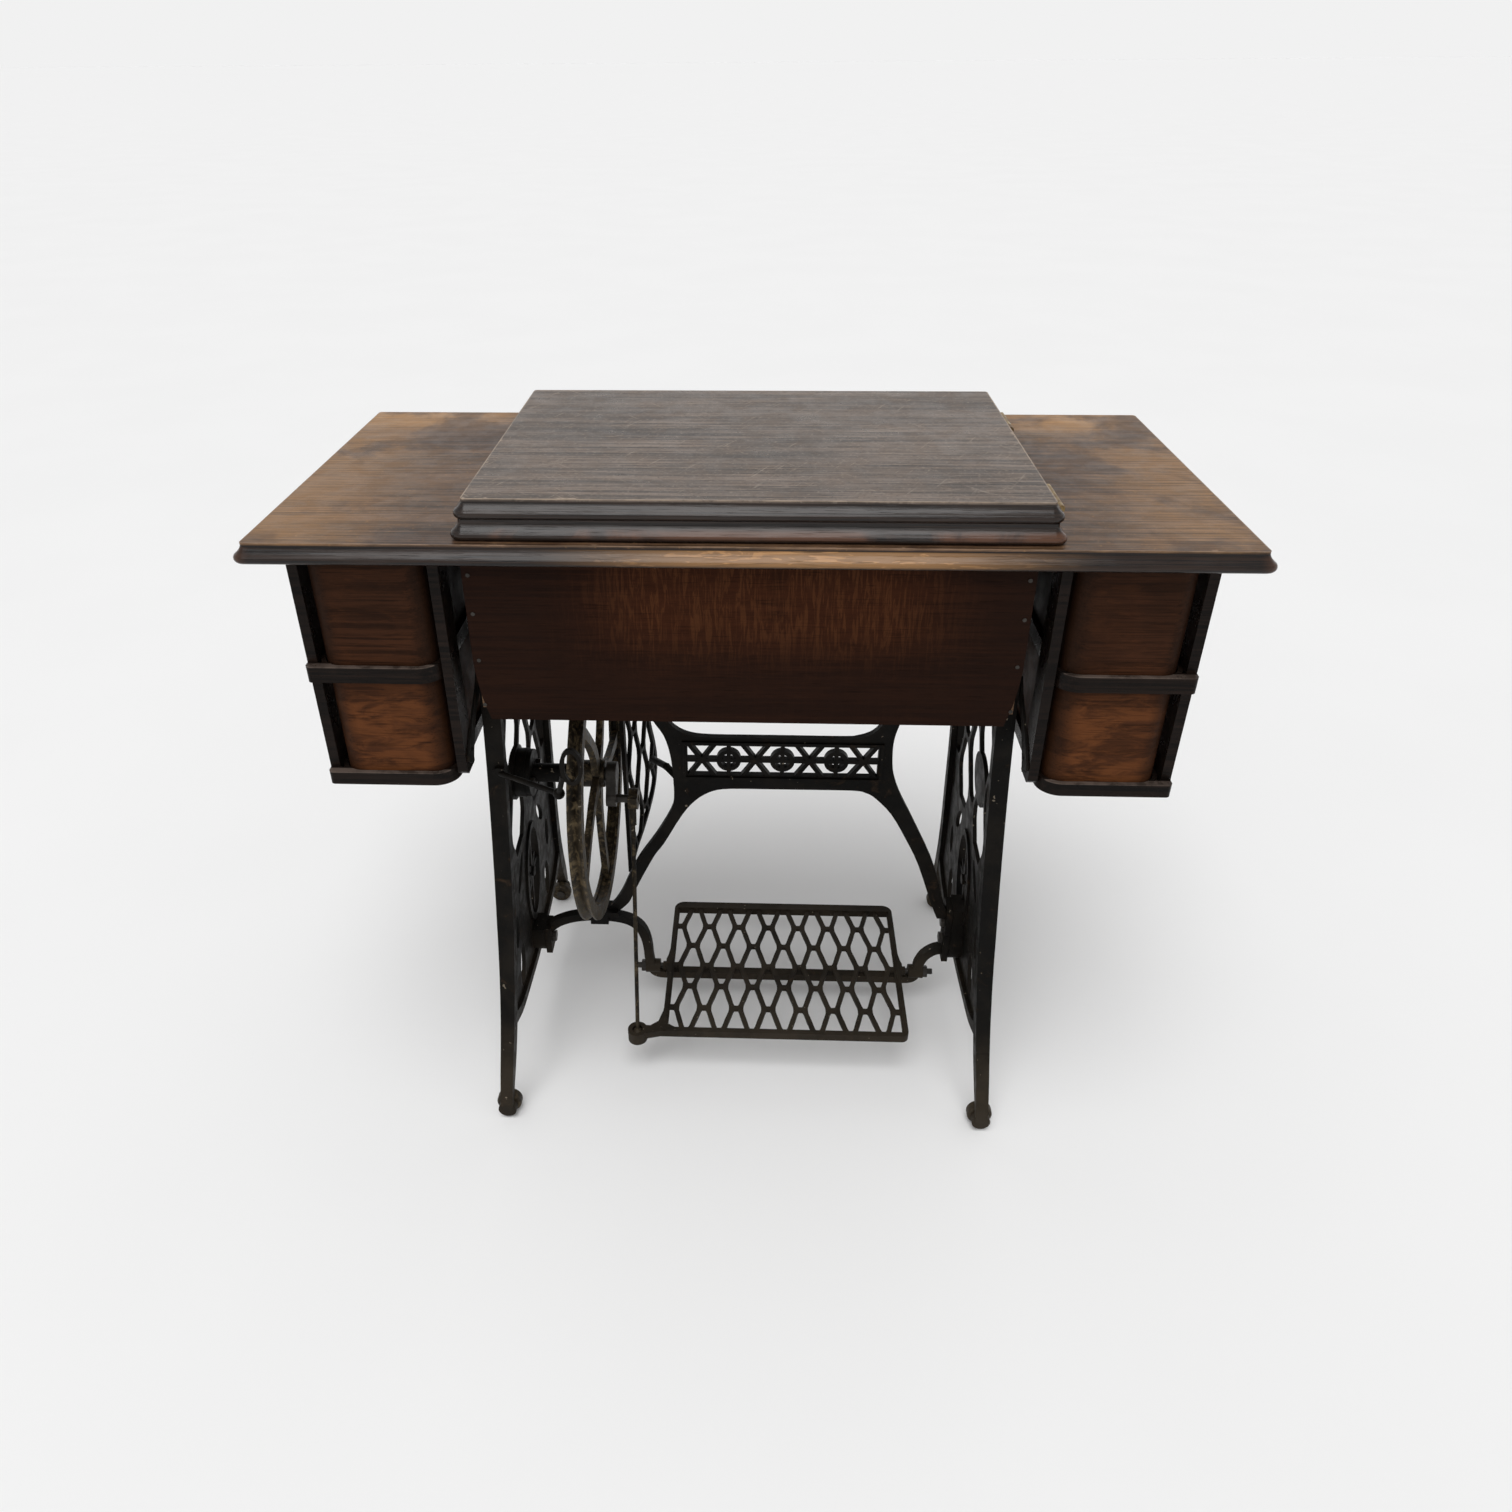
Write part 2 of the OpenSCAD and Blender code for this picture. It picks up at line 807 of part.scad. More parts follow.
// One side frame; s is +1 on the right and -1 on the left.
module side_frame(s) {
    mirror([s < 0 ? 1 : 0, 0, 0])
        difference() {
            union() {
                intersection() {
                    translate([frame_x, 0, under_z])
                        rotate([0, -frame_lean, 0])
                            translate([0, 0, -under_z]) {
                                in_yz(web_t)
                                    frame_web();
                                intersection() {
                                    in_yz(rim_w) {
                                        ribbon(leg_line);
                                        mirror([1, 0])
                                            ribbon(leg_line);
                                    }
                                    in_xz(500)
                                        polygon([[-rim_w / 2, 760], [rim_w / 2, 760], [rim_w / 2, 260],
                                            [rim_w / 2 - 2.4, 40], [rim_w / 2 - 2.4, 0],
                                            [2.4 - rim_w / 2, 0], [2.4 - rim_w / 2, 40],
                                            [-rim_w / 2, 260]]);
                                }
                                in_yz(rim_w - 5)
                                    ribbon(arch_line);
                                in_yz(web_t + 6)
                                    translate([0, med_z])
                                        difference() {
                                            oval(41, 78);
                                            oval(33, 69);
                                        }
                                in_yz(web_t + 6)
                                    translate([0, med_z])
                                        circle(7);
                            }
                    box(200, 330, -224, 224, 6, under_z - 3);
                }
                box(256.5, 287, -150, 150, under_z - 6, under_z);
                box(256.5, 276, -150, 150, under_z - 12, under_z - 5);
                for (sy = [-1, 1])
                    translate([foot_x, sy * 213, castor_r])
                        rotate([sy * -90, 0, 0])
                            cylinder(h = 9.3, r = 11.4);
                translate([(arm_x + 281) / 2, 0, 0])
                    in_yz(281 - arm_x)
                        translate([mid_y, arm_z])
                            circle(19);
                translate([(pad_x + 298) / 2, 0, 0])
                    in_yz(298 - pad_x) {
                        translate([mid_y, 117])
                            circle(18);
                        translate([mid_y - 18, 117])
                            square([36, s > 0 ? 25 : 72]);
                    }
                if (s > 0)
                    translate([266, axle_y, axle_z])
                        rotate([0, 90, 0])
                            cylinder(h = 19.4, r = 30);
            }
            screw_places()
                translate([0, 0, under_z - 20])
                    cylinder(h = 30, r = 2.6);
            for (sy = [-1, 1])
                translate([foot_x, sy * 212, castor_r])
                    rotate([sy * -90, 0, 0])
                        cylinder(h = 8, r = 3.52);
            for (z = s > 0 ? [arm_z, 117] : [arm_z, bolt_z, 158])
                translate([200, mid_y, z])
                    rotate([0, 90, 0])
                        cylinder(h = 120, r = 4.1);
            if (s > 0)
                for (dy = [-21, 21])
                    translate([200, axle_y + dy, axle_z])
                        rotate([0, 90, 0])
                            cylinder(h = 120, r = 3.1);
        }
}

module left_side_frame() {
    color(iron)
    side_frame(-1);
}

module right_side_frame() {
    color(iron)
    side_frame(1);
}

module table_screws() {
    color(steel)
    screw_places()
        translate([0, 0, under_z - 8.5]) {
            cylinder(h = 2.5, r = 4.6);
            cylinder(h = 19, r = 2.1);
        }
}

// ---------- brace ----------

// Cut-out border: crosses and rings between upright bars.
module fretwork() {
    for (i = [-3 : 3])
        translate([i * 33, 0]) {
            if (i % 2 == 0)
                difference() {
                    circle(15);
                    circle(9.5);
                }
            if (i % 2 != 0)
                for (a = [-1, 1])
                    rotate(a * 35)
                        square([5, 62], center = true);
            if (i % 2 == 0)
                square([5, 50], center = true);
        }
    square([240, 4.5], center = true);
}

// Edges of the brace, seen from behind, from the upper arms down to the feet.
brace_right_out = smooth([[258, 597], [240, 598], [215, 598], [190, 597], [170, 592], [158, 580],
    [146, 552], [135, 520], [124, 490], [115, 469], [102, 447], [95, 420], [92.5, 390], [92, 356],
    [97, 334], [117, 296], [139, 261], [154, 230], [167, 199], [180, 178], [194, 167]], 3);
brace_right_in = smooth([[172, 167], [158, 182], [150, 199], [138, 226], [119.5, 264], [107, 283],
    [82, 329.6], [65, 352], [48, 364.5], [30, 370], [0, 371]], 3);
brace_right_top = smooth([[0, 445.5], [40, 445.5], [63, 447], [79, 452], [90, 460], [98, 471],
    [107, 494], [119, 526], [130, 558], [143, 588], [160, 603], [190, 609], [215, 610], [240, 610],
    [258, 609]], 3);
brace_left_out = smooth([[-258, 597], [-246, 596], [-232, 583], [-219, 562], [-206, 537],
    [-194, 507], [-184, 474], [-177.5, 448], [-177, 421], [-180.5, 395], [-190, 367], [-209, 328], [-238, 266],
    [-253, 222], [-262, 190], [-268, 176]], 3);
brace_left_in = smooth([[-268, 146], [-258, 160], [-245, 191], [-222, 257], [-202, 299],
    [-182, 335], [-161, 359], [-148, 367.5], [-130, 371], [-60, 371]], 3);
brace_left_top = smooth([[-60, 445.5], [-118, 445.5], [-133, 447], [-148, 452.5], [-157, 460.5],
    [-164, 472], [-174, 497], [-186, 527], [-199, 556], [-212, 580], [-226, 598], [-240, 607],
    [-258, 609]], 3);

function back_to_front(p) = [for (i = [len(p) - 1 : -1 : 0]) p[i]];

module brace_outline() {
    polygon(concat(brace_right_out, brace_right_in, back_to_front(brace_left_in),
        back_to_front(brace_left_out), back_to_front(brace_left_top),
        brace_right_top));
}

module cross_brace() {
    color(iron)
    translate([0, mid_y, 0])
        difference() {
            union() {
                in_xz(brace_t)
                    difference() {
                        brace_outline();
                        intersection() {
                            translate([brace_x - 117, 391])
                                square([234, 43]);
                            translate([brace_x, 412.5])
                                difference() {
                                    square([244, 60], center = true);
                                    fretwork();
                                }
                        }
                    }
                in_xz(brace_t + 5)
                    translate([brace_x, 0])
                        difference() {
                            translate([-123, 385])
                                square([246, 55]);
                            translate([-119, 389])
                                square([238, 47]);
                        }
                box(arm_x - 8, arm_x, -14, 14, arm_z - 16, arm_z + 24);
                box(-arm_x, -arm_x + 8, -14, 14, arm_z - 16, arm_z + 24);
                box(-pad_x, -pad_x + 8, -14, 14, 143, 188);
                box(172, 210, -13, 13, foot_z, foot_z + 8);
            }
            for (s = [-1, 1])
                translate([s * (arm_x - 4), 0, arm_z])
                    rotate([0, 90, 0])
                        cylinder(h = 40, r = 4.1, center = true);
            translate([-pad_x + 4, 0, 158])
                rotate([0, 90, 0]) {
                    cylinder(h = 30, r = 4.1, center = true);
                    translate([0, 0, 4])
                        cylinder(h = 14, r = 9);
                }
            translate([198, 0, 150])
                cylinder(h = 30, r = 3.1);
            translate([198, 0, foot_z + 8])
                cylinder(h = 20, r = 6.5);
            box(arm_x, 400, -20, 20, 500, 700);
            box(-400, -arm_x, -20, 20, 500, 700);
            box(-400, -pad_x, -20, 20, 100, 200);
        }
}

// ---------- treadle bar ----------

bar_right = smooth([[104, 54, 11], [118, 54, 11], [127, 59, 12], [132, 70, 12], [134, 86, 12],
    [135, 104, 12], [138, 122, 12], [144, 137, 12], [155, 148, 12], [170, 154, 12], [190, 157, 12],
    [210, 157, 12], [235, 153, 12], [255, 145, 12], [270, 134, 14]], 3);
bar_left = smooth([[-208, 54, 11], [-224, 54, 11], [-232, 58, 12], [-237, 68, 12], [-238, 80, 12],
    [-245, 97, 12], [-258, 108, 12], [-270, 110, 13]], 3);
boss_in = 172;

module treadle_bar() {
    color(iron)
    translate([0, mid_y, 0])
        difference() {
            union() {
                in_xz(12) {
                    ribbon(bar_right);
                    ribbon(bar_left);
                    translate([-210, 48.5])
                        square([316, 11]);
                }
                for (s = [-1, 1])
                    translate([treadle_x + s * boss_in, 0, pivot_z])
                        rotate([0, s * 90, 0])
                            cylinder(h = 20, r = 9.5);
                box(pad_x - 8, pad_x, -14, 14, 98, 141);
                box(-pad_x, -pad_x + 8, -14, 14, 98, 142);
                box(186, 210, -11, 11, 149, foot_z);
            }
            for (s = [-1, 1]) {
                translate([s * (pad_x - 4), 0, s > 0 ? 117 : bolt_z])
                    rotate([0, 90, 0])
                        cylinder(h = 40, r = 4.1, center = true);
                translate([treadle_x + s * (boss_in - 5), 0, pivot_z])
                    rotate([0, s * 90, 0])
                        cylinder(h = 30, r = 4.05);
            }
            translate([198, 0, 130])
                cylinder(h = 50, r = 3.1);
            box(172, 210, -20, 20, foot_z, foot_z + 20);
            box(pad_x, 400, -20, 20, 80, 200);
            box(-400, -pad_x, -20, 20, 80, 200);
        }
}

// Bolt lying along X: head of radius r at x = 0, shank reaching l in +X, nut at the end.
module cross_bolt(l, r, grip) {
    rotate([0, 90, 0]) {
        translate([0, 0, -5])
            cylinder(h = 5, r = 2 * r, $fn = 6);
        cylinder(h = l, r = r);
        translate([0, 0, grip])
            difference() {
                cylinder(h = 5, r = 1.9 * r, $fn = 6);
                translate([0, 0, -1])
                    cylinder(h = 7, r = r - 0.5);
            }
    }
}

// Bolts and nuts that hold the stand together.
module stand_bolts() {
    color(steel) {
        for (s = [-1, 1])
            mirror([s < 0 ? 1 : 0, 0, 0]) {
                translate([arm_x - 8, mid_y, arm_z])
                    cross_bolt(33, 4, 27);
                translate([pad_x - 8, mid_y, s > 0 ? 117 : bolt_z])
                    cross_bolt(38, 4, 32);
            }
        translate([-pad_x + 8, mid_y, 158])
            mirror([1, 0, 0])
                cross_bolt(38, 4, 32);
        translate([198, mid_y, 149]) {
            translate([0, 0, -5])
                cylinder(h = 5, r = 6, $fn = 6);
            cylinder(h = 28, r = 3);
            translate([0, 0, foot_z - 141])
                cylinder(h = 4, r = 5.6, $fn = 6);
        }
        for (s = [-1, 1])
            translate([treadle_x + s * (boss_in + 20), mid_y, pivot_z])
                rotate([0, s * 90, 0])
                    difference() {
                        cylinder(h = 6, r = 8.5, $fn = 6);
                        translate([0, 0, -1])
                            cylinder(h = 8, r = 4.05);
                    }
        for (dy = [-21, 21])
            translate([260, axle_y + dy, axle_z])
                cross_bolt(32, 3, 25.5);
    }
}

// Cone-pointed screws the treadle rocks on.
module pivot_screws() {
    color(steel)
    for (s = [-1, 1])
        translate([treadle_x + s * (treadle_hw + 4.2), mid_y, pivot_z])
            rotate([0, s * 90, 0]) {
                cylinder(h = 4, r1 = 0.4, r2 = 4);
                translate([0, 0, 4])
                    cylinder(h = 36, r = 4);
                translate([0, 0, 36])
                    cylinder(h = 5, r = 5, $fn = 4);
            }
}

// ---------- treadle ----------

treadle_p = 21.4;
treadle_h = 80;

// Outline with rounded corners, inset by m: large at the far side, smaller near the knob.
module treadle_outline(m) {
    w = 2 * (treadle_hw - m);
    y = treadle_hd - m;
    r = 14 - m;
    q = 9 - m * 0.8;
    translate([-w / 2, -y + r])
        square([w, 2 * y - r - q]);
    translate([-w / 2 + r, -y])
        square([w - 2 * r, y]);
    translate([-w / 2 + q, 0])
        square([w - 2 * q, y]);
    for (s = [-1, 1]) {
        translate([s * (w / 2 - r), -y + r])
            circle(r);
        translate([s * (w / 2 - q), y - q])
            circle(q);
    }
}

module treadle_plate() {
    difference() {
        treadle_outline(0);
        intersection() {
            translate([0, 1.8])
                square([2 * treadle_hw - 15, 2 * treadle_hd - 21.5], center = true);
            for (k = [-4 : 4], j = [-4 : 4])
                translate([2 * treadle_p * j + (abs(k) % 2) * treadle_p, 2 + k * treadle_h / 2])
                    wave_hole(treadle_p, treadle_h, 6.6);
        }
    }
}

module treadle_rim() {
    difference() {
        treadle_outline(0);
        difference() {
            treadle_outline(5);
            translate([0, -treadle_hd])
                square([400, 26], center = true);
        }
    }
}

// Arm that carries the knob, flowing out of the side of the treadle.
knob_arm = [[ball_x - 62, ball_y + 2.5], [ball_x - 30, ball_y + 2.5], [ball_x - 14, ball_y + 6.5],
    [ball_x, ball_y + 8], [ball_x, ball_y - 8], [ball_x - 16, ball_y - 7],
    [ball_x - 26, ball_y - 15], [ball_x - 31, ball_y - 34], [ball_x - 33, ball_y - 60],
    [ball_x - 37, ball_y - 60], [ball_x - 37, ball_y - 12]];

module treadle() {
    color(iron)
    difference() {
        union() {
            translate([treadle_x, mid_y, 0]) {
                translate([0, 0, 67])
                    linear_extrude(4.5)
                        treadle_plate();
                translate([0, 0, 62.5])
                    linear_extrude(11)
                        treadle_rim();
                for (s = [-1, 1])
                    translate([s * (treadle_hw - 4), 0, pivot_z])
                        rotate([0, s * 90, 0])
                            cylinder(h = 12, r = 6);
                for (s = [-1, 1])
                    translate([0, 0, 62.5])
                        linear_extrude(10)
                            polygon([[s * (treadle_hw - 5), -30], [s * treadle_hw, -28],
                                [s * (treadle_hw + 2), -14], [s * (treadle_hw + 4), -7],
                                [s * (treadle_hw + 4), 7], [s * (treadle_hw + 2), 14],
                                [s * treadle_hw, 28], [s * (treadle_hw - 5), 30]]);
            }
            translate([0, 0, 62.5])
                linear_extrude(10)
                    polygon(knob_arm);
            translate([ball_x, ball_y, ball_z - 10])
                cylinder(h = 17, r = 12.5);
        }
        for (s = [-1, 1])
            translate([treadle_x + s * (treadle_hw + 3.7), mid_y, pivot_z])
                rotate([0, s * 90, 0])
                    cylinder(h = 6, r1 = 0.6, r2 = 6.6);
        translate([ball_x, ball_y, ball_z])
            sphere(r = 7.35);
        translate([ball_x, ball_y, ball_z])
            cylinder(h = 20, r = 6.85);
    }
}

// ---------- pitman ----------

module on_pitman() {
    translate([ball_x, ball_y, ball_z])
        rotate([rod_lean, 0, 0])
            children();
}

module pitman_rod() {
    color(iron)
    on_pitman() {
        sphere(r = 7);
        cylinder(h = rod_len - 16, r = 2.6);
    }
}

module pitman_bearing() {
    color(iron)
    on_pitman()
        translate([-1.5, 0, 0])
            difference() {
                union() {
                    translate([0, 0, rod_len])
                        rotate([0, 90, 0])
                            cylinder(h = 11, r = 13, center = true);
                    translate([1.5, 0, rod_len - 34])
                        cylinder(h = 24, r = 4.3);
                    translate([0, 0, rod_len])
                        cube([11, 34, 12], center = true);
                }
                translate([0, 0, rod_len])
                    rotate([0, 90, 0])
                        cylinder(h = 40, r = 5.2, center = true);
                translate([1.5, 0, rod_len - 40])
                    cylinder(h = 24, r = 2.65);
            }
}

// ---------- belt wheel ----------

module rim_profile() {
    difference() {
        translate([wheel_r - 17, 0])
            square([17, wheel_w]);
        translate([wheel_r, wheel_w / 2])
            rotate(45)
                square([8, 8], center = true);
        translate([wheel_r - 17, wheel_w / 2])
            circle(4.5);
    }
}

module belt_wheel() {
    color(steel)
    translate([wheel_x, axle_y, axle_z])
        rotate([0, 90, 0])
            difference() {
                union() {
                    rotate_extrude()
                        rim_profile();
                    translate([0, 0, -1])
                        cylinder(h = 30, r = 16.5);
                    translate([0, 0, wheel_w / 2 - 4])
                        linear_extrude(8)
                            for (a = [0 : 72 : 288])
                                rotate(a)
                                    ribbon(smooth([[15, 0, 20], [50, 8, 15], [100, 4, 12],
                                        [wheel_r - 14, -8, 16]], 5));
                }
                translate([0, 0, -2])
                    cylinder(h = 40, r = axle_r + 0.02);
            }
}

module crankshaft() {
    color(steel) {
        translate([166, axle_y, axle_z])
            rotate([0, 90, 0])
                cylinder(h = 90, r = axle_r);
        translate([158, 0, 0])
            rotate([90, 0, 90])
                linear_extrude(12)
                    union() {
                        translate([axle_y, axle_z])
                            circle(15);
                        translate([crank_y, crank_z])
                            circle(10);
                        ribbon([[axle_y, axle_z, 24], [crank_y, crank_z, 18]]);
                    }
        translate([143.2, crank_y, crank_z])
            rotate([0, 90, 0])
                cylinder(h = 16, r = 5);
    }
}

module wheel_bearing() {
    color(iron)
    difference() {
        union() {
            translate([213, axle_y, axle_z])
                rotate([0, 90, 0])
                    cylinder(h = 53, r = axle_r + 3.5);
            translate([260, axle_y, axle_z])
                rotate([0, 90, 0])
                    cylinder(h = 6, r = 29);
        }
        translate([210, axle_y, axle_z])
            rotate([0, 90, 0])
                cylinder(h = 50, r = axle_r + fit);
        for (dy = [-21, 21])
            translate([255, axle_y + dy, axle_z])
                rotate([0, 90, 0])
                    cylinder(h = 20, r = 3.1);
    }
}

// ---------- dress guard and belt guide ----------

guard_a = [157, -14];
guard_turn = 12.5;

module guard_outline(m) {
    polygon(smooth([[m, 212 + m], [30, 232 + m], [60, 243 + m], [95 - m, 262 + m / 2],
        [117 - m, 284], [126 - m, 316], [119 - m, 350], [106 - m, 385], [96 - m, 430],
        [88 - m, 490], [70 - m / 2, 545 - m], [35, 582 - m], [m, 592 - m]], 3));
}

module dress_guard() {
    color(iron) {
        translate([guard_a[0], guard_a[1], 0])
            rotate([0, 0, -guard_turn])
                rotate([90, 0, -90])
                    linear_extrude(5, center = true)
                        difference() {
                            guard_outline(0);
                            intersection() {
                                guard_outline(7);
                                for (k = [0 : 8], j = [0 : 2])
                                    translate([8 + 60 * j + (k % 2) * 30, 232 + 45 * k])
                                        wave_hole(30, 90, 5);
                            }
                        }
        difference() {
            union() {
                translate([84, mid_y - brace_t / 2, 372])
                    rotate([90, 0, 0])
                        cylinder(h = 6, r = 9);
                round_bar([84, mid_y - brace_t / 2 - 5, 372], [104, -26, 376], 4.5);
                translate([104, -26, 376])
                    sphere(r = 5);
                round_bar([104, -26, 376], [126, -70, 358], 4.5);
                translate([126, -70, 358])
                    sphere(r = 5);
                round_bar([126, -70, 358], [134.5, -113, 318], 4.5);
            }
            box(60, 120, mid_y - brace_t / 2, 60, 350, 430);
        }
    }
}

module belt_guide() {
    color(iron) {
        translate([178, 213, 532])
            in_xz(5)
                difference() {
                    oval(12, 22);
                    oval(7.5, 17.5);
                }
        round_bar([188, 213, 520], [200, 184, 478], 3);
        translate([200, 184, 478])
            sphere(r = 6.5);
        round_bar([200, 184, 478], [274, 138, 472], 3.2);
        translate([275, 135.2, 472])
            rotate([-90, 0, 0])
                cylinder(h = 4.5, r = 7.5);
    }
}

// ---------- castors ----------

module castor_pins() {
    color(steel)
    for (sx = [-1, 1], sy = [-1, 1])
        translate([sx * foot_x, sy * 195.5, castor_r])
            rotate([sy * -90, 0, 0]) {
                cylinder(h = 24, r = 3.5);
                cylinder(h = 2.5, r = 6);
            }
}

module castor(sx, sy) {
    color(iron)
    translate([sx * foot_x, sy * 205.4, castor_r])
        rotate([90, 0, 0])
            difference() {
                rotate_extrude()
                    union() {
                        square([castor_r - 3, 13], center = false);
                        translate([0, 3])
                            square([castor_r, 7]);
                        translate([castor_r - 3, 3])
                            circle(3);
                        translate([castor_r - 3, 10])
                            circle(3);
                    }
                translate([0, 0, -1])
                    cylinder(h = 16, r = 3.5 + fit);
            }
}

module castor_left_rear() {
    translate([0, 6.5, 0])
        castor(-1, 1);
}

module castor_right_rear() {
    translate([0, 6.5, 0])
        castor(1, 1);
}

module castor_left_front() {
    translate([0, 6.5, 0])
        castor(-1, -1);
}

module castor_right_front() {
    translate([0, 6.5, 0])
        castor(1, -1);
}

// ---------- what is drawn ----------

table_top();
bed_frame();
lid();
lid_hinge_lower_leaves();
lid_hinge_upper_leaves();
lid_hinge_pins();
rear_apron();
front_apron();
dust_box_left_side();
dust_box_right_side();
dust_box_floor();
apron_cleats();
apron_nails();
left_outer_posts();
left_inner_posts();
right_outer_posts();
right_inner_posts();
left_middle_rail();
left_bottom_rail();
right_middle_rail();
right_bottom_rail();
left_upper_drawer_box();
left_upper_drawer_floor();
left_upper_drawer_front();
left_upper_drawer_knob();
left_lower_drawer_box();
left_lower_drawer_floor();
left_lower_drawer_front();
left_lower_drawer_knob();
right_upper_drawer_box();
right_upper_drawer_floor();
right_upper_drawer_front();
right_upper_drawer_knob();
right_lower_drawer_box();
right_lower_drawer_floor();
right_lower_drawer_front();
right_lower_drawer_knob();
post_brackets();
left_side_frame();
right_side_frame();
table_screws();
cross_brace();
treadle_bar();
stand_bolts();
pivot_screws();
treadle();
pitman_rod();
pitman_bearing();
belt_wheel();
crankshaft();
wheel_bearing();
dress_guard();
belt_guide();
castor_pins();
castor_left_rear();
castor_right_rear();
castor_left_front();
castor_right_front();
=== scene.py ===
"""Looks for the treadle sewing table: wood, iron, floor, light and camera."""

import json
import math

import bpy
from mathutils import Matrix, Vector


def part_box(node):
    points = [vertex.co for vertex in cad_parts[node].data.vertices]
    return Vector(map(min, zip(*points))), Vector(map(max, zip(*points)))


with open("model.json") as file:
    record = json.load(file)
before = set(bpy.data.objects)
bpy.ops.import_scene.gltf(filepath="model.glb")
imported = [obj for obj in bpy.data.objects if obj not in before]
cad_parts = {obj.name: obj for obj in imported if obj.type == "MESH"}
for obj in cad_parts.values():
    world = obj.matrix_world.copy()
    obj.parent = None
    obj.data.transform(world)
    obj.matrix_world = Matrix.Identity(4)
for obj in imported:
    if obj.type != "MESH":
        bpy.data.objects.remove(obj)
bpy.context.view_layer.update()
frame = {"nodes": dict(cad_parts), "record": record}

# ---------- node helpers ----------

MIX_A = 6  # the colour sockets of a mix node share their names with its other sockets
MIX_B = 7
MIX_RESULT = 2


class Shader:
    """A material's node tree with short calls for the nodes used here."""

    def __init__(self, name):
        self.material = bpy.data.materials.new(name)
        self.material.use_nodes = True
        self.nodes = self.material.node_tree.nodes
        self.links = self.material.node_tree.links
        self.bsdf = self.nodes["Principled BSDF"]
        self.place = self.nodes.new("ShaderNodeTexCoord").outputs["Object"]
        self.polish = None  # a tint can set it: 1 marks the glossier parts

    def put(self, socket, value):
        """Set a socket to a constant or link it to another node's output."""
        if isinstance(value, bpy.types.NodeSocket):
            self.links.new(value, socket)
        else:
            socket.default_value = value

    def scaled(self, scale, turn=(0, 0, 0)):
        """The place of a point, scaled along the axes and then turned."""
        node = self.nodes.new("ShaderNodeMapping")
        self.links.new(self.place, node.inputs["Vector"])
        node.inputs["Scale"].default_value = scale
        node.inputs["Rotation"].default_value = turn
        return node.outputs["Vector"]

    def turned(self, angle, scale):
        """The place of a point, turned about Z first and then scaled along the turned axes."""
        turn = self.nodes.new("ShaderNodeMapping")
        self.links.new(self.place, turn.inputs["Vector"])
        turn.inputs["Rotation"].default_value = (0, 0, angle)
        stretch = self.nodes.new("ShaderNodeMapping")
        self.links.new(turn.outputs["Vector"], stretch.inputs["Vector"])
        stretch.inputs["Scale"].default_value = scale
        return stretch.outputs["Vector"]

    def noise(self, vector, scale=1.0, detail=4.0, roughness=0.55, warp=0.0):
        """Noise from 0 to 1, mostly between 0.3 and 0.7."""
        node = self.nodes.new("ShaderNodeTexNoise")
        self.links.new(vector, node.inputs["Vector"])
        node.inputs["Scale"].default_value = scale
        node.inputs["Detail"].default_value = detail
        node.inputs["Roughness"].default_value = roughness
        node.inputs["Distortion"].default_value = warp
        return node.outputs["Fac"]

    def spread(self, value, low, high, to_low=0.0, to_high=1.0):
        """Smooth step from to_low, where the value is at low, to to_high, where it is at high."""
        node = self.nodes.new("ShaderNodeMapRange")
        node.interpolation_type = "SMOOTHSTEP"
        self.put(node.inputs["Value"], value)
        node.inputs["From Min"].default_value = low
        node.inputs["From Max"].default_value = high
        node.inputs["To Min"].default_value = to_low
        node.inputs["To Max"].default_value = to_high
        return node.outputs["Result"]

    def math(self, kind, a, b=0.0):
        """One arithmetic step; kind is the operation's name."""
        node = self.nodes.new("ShaderNodeMath")
        node.operation = kind
        self.put(node.inputs[0], a)
        self.put(node.inputs[1], b)
        return node.outputs["Value"]

    def axis(self, letter):
        """A coordinate of the point in metres, at rest."""
        node = self.nodes.new("ShaderNodeSeparateXYZ")
        self.links.new(self.place, node.inputs["Vector"])
        return node.outputs[letter]

    def mix(self, amount, a, b):
        """Colour a where the amount is 0, colour b where it is 1."""
        node = self.nodes.new("ShaderNodeMix")
        node.data_type = "RGBA"
        self.put(node.inputs["Factor"], amount)
        for socket, colour in ((node.inputs[MIX_A], a), (node.inputs[MIX_B], b)):
            self.put(socket, colour if isinstance(colour, bpy.types.NodeSocket) else (*colour, 1.0))
        return node.outputs[MIX_RESULT]

    def bump(self, height, strength, distance, normal=None):
        """A normal tilted by a height texture, on top of another one where it is given."""
        node = self.nodes.new("ShaderNodeBump")
        self.links.new(height, node.inputs["Height"])
        node.inputs["Strength"].default_value = strength
        node.inputs["Distance"].default_value = distance
        if normal:
            self.links.new(normal, node.inputs["Normal"])
        return node.outputs["Normal"]

    def finish(self, colour, roughness, normal, specular=0.5, metallic=0.0):
        """Fill in the surface and hand back the material."""
        self.put(self.bsdf.inputs["Base Color"], colour)
        self.put(self.bsdf.inputs["Roughness"], roughness)
        self.links.new(normal, self.bsdf.inputs["Normal"])
        self.bsdf.inputs["Specular IOR Level"].default_value = specular
        self.bsdf.inputs["Metallic"].default_value = metallic
        return self.material


# ---------- wood ----------

ALONG = {"X": (1, 0, 0), "Y": (0, 1, 0), "Z": (0, 0, 1)}
EDGE_RUN = 0.0083  # from the flat top of a moulded board out to its tip
STEP_LOW = 0.0030  # the small step under a flat top ends this far down
STEP_HIGH = 0.0012  # and starts this far down

